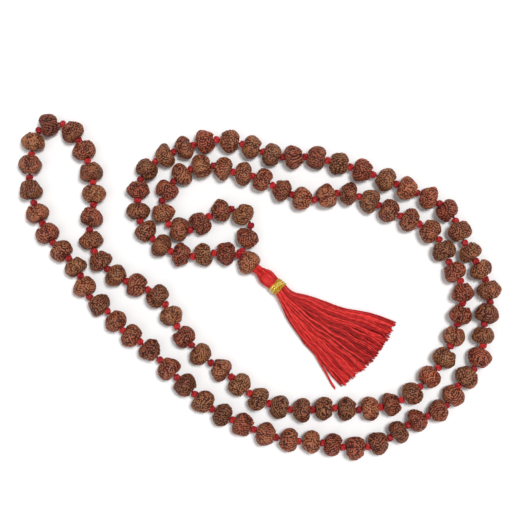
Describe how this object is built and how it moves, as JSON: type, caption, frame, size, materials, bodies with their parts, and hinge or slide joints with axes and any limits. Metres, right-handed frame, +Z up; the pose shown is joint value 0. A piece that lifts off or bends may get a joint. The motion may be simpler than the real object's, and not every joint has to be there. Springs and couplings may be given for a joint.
{
  "type": "mala prayer beads",
  "caption": "Loop of dimpled seed beads knotted on a red cord, closed by a guru bead that carries a red thread tassel with a gold wrap, laid flat.",
  "frame": {"origin": "on the surface the beads rest on, under the middle of the laid-out loop's box", "axes": "+Z up from the surface, +X along the loop's longest extent towards its round end, +Y across the loop towards the side of the folded-back start of the strand"},
  "size_m": [0.1607, 0.1154, 0.0081],
  "materials": {
    "seed": "carved-looking natural seed, satin ridges over dark grooves",
    "red_thread": "twisted cotton cord",
    "tassel_thread": "fine silky thread, cut ends",
    "gold_thread": "wound metallic thread"
  },
  "bodies": {
    "strand": {"thread": "red_thread", "spacer_knots": "red_thread", "junction_knot": "red_thread", "tie_knot": "red_thread", "beads_far_run": "seed"},
    "tassel_link": {"tassel_hanger": "red_thread"},
    "tassel": {"tassel_head": "tassel_thread", "gold_wrap": "gold_thread", "tassel_skirt": "tassel_thread"},
    "guru": {"guru_bead": "seed"},
    "bead_001_body": {"bead_001": "seed"},
    "bead_002_body": {"bead_002": "seed"},
    "bead_003_body": {"bead_003": "seed"},
    "bead_004_body": {"bead_004": "seed"},
    "bead_005_body": {"bead_005": "seed"},
    "bead_006_body": {"bead_006": "seed"},
    "bead_007_body": {"bead_007": "seed"},
    "bead_008_body": {"bead_008": "seed"},
    "bead_009_body": {"bead_009": "seed"},
    "bead_010_body": {"bead_010": "seed"},
    "bead_011_body": {"bead_011": "seed"},
    "bead_012_body": {"bead_012": "seed"},
    "bead_013_body": {"bead_013": "seed"},
    "bead_014_body": {"bead_014": "seed"},
    "bead_015_body": {"bead_015": "seed"},
    "bead_016_body": {"bead_016": "seed"},
    "bead_017_body": {"bead_017": "seed"},
    "bead_018_body": {"bead_018": "seed"},
    "bead_019_body": {"bead_019": "seed"},
    "bead_020_body": {"bead_020": "seed"},
    "bead_021_body": {"bead_021": "seed"},
    "bead_022_body": {"bead_022": "seed"},
    "bead_023_body": {"bead_023": "seed"},
    "bead_024_body": {"bead_024": "seed"},
    "bead_025_body": {"bead_025": "seed"},
    "bead_084_body": {"bead_084": "seed"},
    "bead_085_body": {"bead_085": "seed"},
    "bead_086_body": {"bead_086": "seed"},
    "bead_087_body": {"bead_087": "seed"},
    "bead_088_body": {"bead_088": "seed"},
    "bead_089_body": {"bead_089": "seed"},
    "bead_090_body": {"bead_090": "seed"},
    "bead_091_body": {"bead_091": "seed"},
    "bead_092_body": {"bead_092": "seed"},
    "bead_093_body": {"bead_093": "seed"},
    "bead_094_body": {"bead_094": "seed"},
    "bead_095_body": {"bead_095": "seed"},
    "bead_096_body": {"bead_096": "seed"},
    "bead_097_body": {"bead_097": "seed"},
    "bead_098_body": {"bead_098": "seed"},
    "bead_099_body": {"bead_099": "seed"},
    "bead_100_body": {"bead_100": "seed"},
    "bead_101_body": {"bead_101": "seed"},
    "bead_102_body": {"bead_102": "seed"},
    "bead_103_body": {"bead_103": "seed"},
    "bead_104_body": {"bead_104": "seed"},
    "bead_105_body": {"bead_105": "seed"},
    "bead_106_body": {"bead_106": "seed"},
    "bead_107_body": {"bead_107": "seed"},
    "bead_108_body": {"bead_108": "seed"}
  },
  "joints": [
    {"name": "tassel_swing", "type": "hinge", "parent": "strand", "child": "tassel_link", "pos_m": [-0.00033, 0.0051, 0.00405], "axis": [0, 0, 1], "range_deg": [-5, 30]},
    {"name": "tassel_lift", "type": "hinge", "parent": "tassel_link", "child": "tassel", "pos_m": [0.00114, 0.00389, 0.0029], "axis": [-0.6561, -0.7547, 0], "range_deg": [0, 60]},
    {"name": "turn_guru", "type": "hinge", "parent": "strand", "child": "guru", "pos_m": [-0.0035, 0.0077, 0.00405], "axis": [0.7727, -0.6347, 0], "continuous": true},
    {"name": "turn_bead_001", "type": "hinge", "parent": "strand", "child": "bead_001_body", "pos_m": [-0.00401, 0.01548, 0.00405], "axis": [-0.4384, -0.8988, 0], "continuous": true},
    {"name": "turn_bead_002", "type": "hinge", "parent": "strand", "child": "bead_002_body", "pos_m": [-0.00529, 0.02345, 0.00405], "axis": [0.756, -0.6546, 0], "continuous": true},
    {"name": "turn_bead_003", "type": "hinge", "parent": "strand", "child": "bead_003_body", "pos_m": [-0.0128, 0.02478, 0.00405], "axis": [0.9412, 0.338, 0], "continuous": true},
    {"name": "turn_bead_004", "type": "hinge", "parent": "strand", "child": "bead_004_body", "pos_m": [-0.01944, 0.0206, 0.00405], "axis": [0.7753, 0.6316, 0], "continuous": true},
    {"name": "turn_bead_005", "type": "hinge", "parent": "strand", "child": "bead_005_body", "pos_m": [-0.0265, 0.01863, 0.00405], "axis": [0.9755, -0.2198, 0], "continuous": true},
    {"name": "turn_bead_006", "type": "hinge", "parent": "strand", "child": "bead_006_body", "pos_m": [-0.03184, 0.02403, 0.00405], "axis": [0.262, -0.9651, 0], "continuous": true},
    {"name": "turn_bead_007", "type": "hinge", "parent": "strand", "child": "bead_007_body", "pos_m": [-0.03073, 0.03161, 0.00405], "axis": [-0.5437, -0.8393, 0], "continuous": true},
    {"name": "turn_bead_008", "type": "hinge", "parent": "strand", "child": "bead_008_body", "pos_m": [-0.02576, 0.03677, 0.00405], "axis": [-0.8086, -0.5883, 0], "continuous": true},
    {"name": "turn_bead_009", "type": "hinge", "parent": "strand", "child": "bead_009_body", "pos_m": [-0.01911, 0.03968, 0.00405], "axis": [-0.9815, -0.1916, 0], "continuous": true},
    {"name": "turn_bead_010", "type": "hinge", "parent": "strand", "child": "bead_010_body", "pos_m": [-0.01202, 0.039, 0.00405], "axis": [-0.9346, 0.3557, 0], "continuous": true},
    {"name": "turn_bead_011", "type": "hinge", "parent": "strand", "child": "bead_011_body", "pos_m": [-0.00531, 0.03724, 0.00405], "axis": [-0.9905, 0.1374, 0], "continuous": true},
    {"name": "turn_bead_012", "type": "hinge", "parent": "strand", "child": "bead_012_body", "pos_m": [0.00133, 0.03514, 0.00405], "axis": [-0.8833, 0.4689, 0], "continuous": true},
    {"name": "turn_bead_013", "type": "hinge", "parent": "strand", "child": "bead_013_body", "pos_m": [0.00759, 0.03163, 0.00405], "axis": [-0.879, 0.4769, 0], "continuous": true},
    {"name": "turn_bead_014", "type": "hinge", "parent": "strand", "child": "bead_014_body", "pos_m": [0.01456, 0.02888, 0.00405], "axis": [-0.9738, 0.2275, 0], "continuous": true},
    {"name": "turn_bead_015", "type": "hinge", "parent": "strand", "child": "bead_015_body", "pos_m": [0.02241, 0.02957, 0.00405], "axis": [-0.935, -0.3547, 0], "continuous": true},
    {"name": "turn_bead_016", "type": "hinge", "parent": "strand", "child": "bead_016_body", "pos_m": [0.02988, 0.03054, 0.00405], "axis": [-0.9841, 0.1775, 0], "continuous": true},
    {"name": "turn_bead_017", "type": "hinge", "parent": "strand", "child": "bead_017_body", "pos_m": [0.03675, 0.02817, 0.00405], "axis": [-0.9008, 0.4342, 0], "continuous": true},
    {"name": "turn_bead_018", "type": "hinge", "parent": "strand", "child": "bead_018_body", "pos_m": [0.04346, 0.02481, 0.00405], "axis": [-0.8953, 0.4455, 0], "continuous": true},
    {"name": "turn_bead_019", "type": "hinge", "parent": "strand", "child": "bead_019_body", "pos_m": [0.05024, 0.02174, 0.00405], "axis": [-0.9209, 0.3898, 0], "continuous": true},
    {"name": "turn_bead_020", "type": "hinge", "parent": "strand", "child": "bead_020_body", "pos_m": [0.05688, 0.01805, 0.00405], "axis": [-0.7989, 0.6014, 0], "continuous": true},
    {"name": "turn_bead_021", "type": "hinge", "parent": "strand", "child": "bead_021_body", "pos_m": [0.06149, 0.01154, 0.00405], "axis": [-0.3344, 0.9424, 0], "continuous": true},
    {"name": "turn_bead_022", "type": "hinge", "parent": "strand", "child": "bead_022_body", "pos_m": [0.06502, 0.00446, 0.00405], "axis": [-0.5583, 0.8296, 0], "continuous": true},
    {"name": "turn_bead_023", "type": "hinge", "parent": "strand", "child": "bead_023_body", "pos_m": [0.06763, -0.00234, 0.00405], "axis": [-0.1041, 0.9946, 0], "continuous": true},
    {"name": "turn_bead_024", "type": "hinge", "parent": "strand", "child": "bead_024_body", "pos_m": [0.06687, -0.00972, 0.00405], "axis": [0.278, 0.9606, 0], "continuous": true},
    {"name": "turn_bead_025", "type": "hinge", "parent": "strand", "child": "bead_025_body", "pos_m": [0.06455, -0.01689, 0.00405], "axis": [0.3278, 0.9447, 0], "continuous": true},
    {"name": "turn_bead_084", "type": "hinge", "parent": "strand", "child": "bead_084_body", "pos_m": [0.07376, 0.00507, 0.00405], "axis": [0.5211, -0.8535, 0], "continuous": true},
    {"name": "turn_bead_085", "type": "hinge", "parent": "strand", "child": "bead_085_body", "pos_m": [0.06992, 0.01104, 0.00405], "axis": [0.5254, -0.8508, 0], "continuous": true},
    {"name": "turn_bead_086", "type": "hinge", "parent": "strand", "child": "bead_086_body", "pos_m": [0.06679, 0.01797, 0.00405], "axis": [0.3235, -0.9462, 0], "continuous": true},
    {"name": "turn_bead_087", "type": "hinge", "parent": "strand", "child": "bead_087_body", "pos_m": [0.06281, 0.02483, 0.00405], "axis": [0.6903, -0.7235, 0], "continuous": true},
    {"name": "turn_bead_088", "type": "hinge", "parent": "strand", "child": "bead_088_body", "pos_m": [0.05649, 0.02919, 0.00405], "axis": [0.9134, -0.4072, 0], "continuous": true},
    {"name": "turn_bead_089", "type": "hinge", "parent": "strand", "child": "bead_089_body", "pos_m": [0.04944, 0.03209, 0.00405], "axis": [0.9255, -0.3787, 0], "continuous": true},
    {"name": "turn_bead_090", "type": "hinge", "parent": "strand", "child": "bead_090_body", "pos_m": [0.0422, 0.03529, 0.00405], "axis": [0.9069, -0.4212, 0], "continuous": true},
    {"name": "turn_bead_091", "type": "hinge", "parent": "strand", "child": "bead_091_body", "pos_m": [0.03456, 0.03826, 0.00405], "axis": [0.9543, -0.2988, 0], "continuous": true},
    {"name": "turn_bead_092", "type": "hinge", "parent": "strand", "child": "bead_092_body", "pos_m": [0.02672, 0.04062, 0.00405], "axis": [0.9595, -0.2818, 0], "continuous": true},
    {"name": "turn_bead_093", "type": "hinge", "parent": "strand", "child": "bead_093_body", "pos_m": [0.01911, 0.04254, 0.00405], "axis": [0.9824, -0.1869, 0], "continuous": true},
    {"name": "turn_bead_094", "type": "hinge", "parent": "strand", "child": "bead_094_body", "pos_m": [0.01162, 0.04277, 0.00405], "axis": [0.9956, 0.0934, 0], "continuous": true},
    {"name": "turn_bead_095", "type": "hinge", "parent": "strand", "child": "bead_095_body", "pos_m": [0.00436, 0.04351, 0.00405], "axis": [0.9478, -0.3188, 0], "continuous": true},
    {"name": "turn_bead_096", "type": "hinge", "parent": "strand", "child": "bead_096_body", "pos_m": [-0.00242, 0.04606, 0.00405], "axis": [0.9377, -0.3475, 0], "continuous": true},
    {"name": "turn_bead_097", "type": "hinge", "parent": "strand", "child": "bead_097_body", "pos_m": [-0.00984, 0.04818, 0.00405], "axis": [0.9825, -0.1861, 0], "continuous": true},
    {"name": "turn_bead_098", "type": "hinge", "parent": "strand", "child": "bead_098_body", "pos_m": [-0.01786, 0.04807, 0.00405], "axis": [0.9772, 0.2123, 0], "continuous": true},
    {"name": "turn_bead_099", "type": "hinge", "parent": "strand", "child": "bead_099_body", "pos_m": [-0.02506, 0.04583, 0.00405], "axis": [0.9304, 0.3664, 0], "continuous": true},
    {"name": "turn_bead_100", "type": "hinge", "parent": "strand", "child": "bead_100_body", "pos_m": [-0.03155, 0.04311, 0.00405], "axis": [0.9056, 0.4241, 0], "continuous": true},
    {"name": "turn_bead_101", "type": "hinge", "parent": "strand", "child": "bead_101_body", "pos_m": [-0.03746, 0.03865, 0.00405], "axis": [0.6428, 0.766, 0], "continuous": true},
    {"name": "turn_bead_102", "type": "hinge", "parent": "strand", "child": "bead_102_body", "pos_m": [-0.04018, 0.0318, 0.00405], "axis": [0.0609, 0.9981, 0], "continuous": true},
    {"name": "turn_bead_103", "type": "hinge", "parent": "strand", "child": "bead_103_body", "pos_m": [-0.04015, 0.02457, 0.00405], "axis": [-0.0639, 0.998, 0], "continuous": true},
    {"name": "turn_bead_104", "type": "hinge", "parent": "strand", "child": "bead_104_body", "pos_m": [-0.03762, 0.01797, 0.00405], "axis": [-0.6244, 0.7811, 0], "continuous": true},
    {"name": "turn_bead_105", "type": "hinge", "parent": "strand", "child": "bead_105_body", "pos_m": [-0.03227, 0.01306, 0.00405], "axis": [-0.8244, 0.5661, 0], "continuous": true},
    {"name": "turn_bead_106", "type": "hinge", "parent": "strand", "child": "bead_106_body", "pos_m": [-0.02575, 0.0101, 0.00405], "axis": [-0.9723, 0.2337, 0], "continuous": true},
    {"name": "turn_bead_107", "type": "hinge", "parent": "strand", "child": "bead_107_body", "pos_m": [-0.01864, 0.01012, 0.00405], "axis": [-0.98, -0.1991, 0], "continuous": true},
    {"name": "turn_bead_108", "type": "hinge", "parent": "strand", "child": "bead_108_body", "pos_m": [-0.01117, 0.01058, 0.00405], "axis": [-0.9942, 0.1074, 0], "continuous": true}
  ]
}
